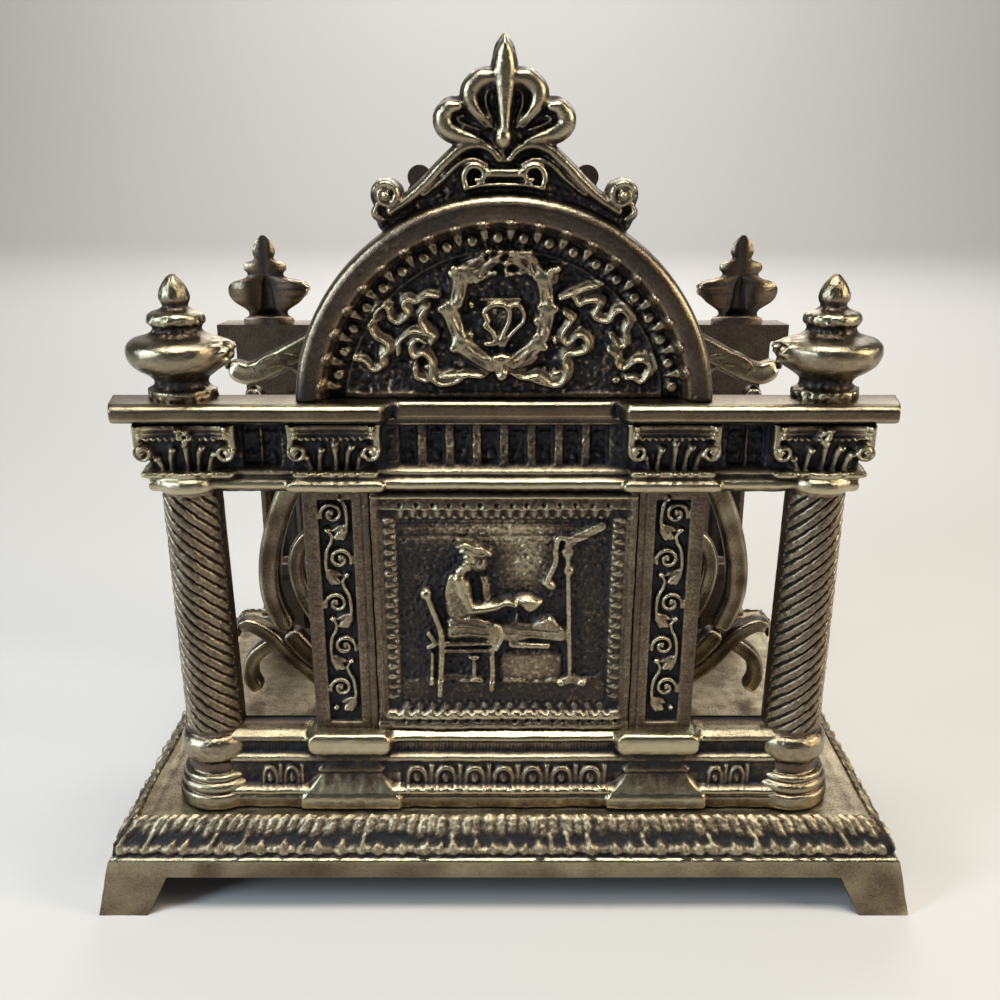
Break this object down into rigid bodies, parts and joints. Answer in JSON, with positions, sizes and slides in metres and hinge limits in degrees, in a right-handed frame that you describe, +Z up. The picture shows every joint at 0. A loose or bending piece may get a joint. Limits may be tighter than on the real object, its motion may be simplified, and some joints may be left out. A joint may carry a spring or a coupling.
{
  "type": "letter rack",
  "caption": "Cast brass desk letter rack: two classical temple-front screens on a footed base, with an openwork scroll divider making two bays.",
  "frame": {"origin": "centre of the base, on the surface that it stands on", "axes": "+Z up, +X along the length of the screens, the front screen faces -Y"},
  "size_m": [0.147, 0.0988, 0.1481],
  "materials": {
    "cast_brass": "antiqued cast brass: dark patina in the recesses, worn bright on the high relief",
    "screw_brass": "plain turned brass, dulled with age"
  },
  "bodies": {
    "root": {"base_tray": "cast_brass", "divider": "cast_brass", "front_screen": "cast_brass", "front_plaque": "cast_brass", "front_pediment": "cast_brass", "front_left_column": "cast_brass", "front_right_column": "cast_brass", "front_left_finial": "cast_brass", "front_right_finial": "cast_brass", "rear_screen": "cast_brass", "rear_plaque": "cast_brass", "rear_pediment": "cast_brass", "rear_left_column": "cast_brass", "rear_right_column": "cast_brass", "rear_left_finial": "cast_brass", "rear_right_finial": "cast_brass", "front_screen_left_screw": "screw_brass", "front_screen_right_screw": "screw_brass", "rear_screen_left_screw": "screw_brass", "rear_screen_right_screw": "screw_brass", "divider_left_screw": "screw_brass", "divider_right_screw": "screw_brass"}
  },
  "joints": []
}
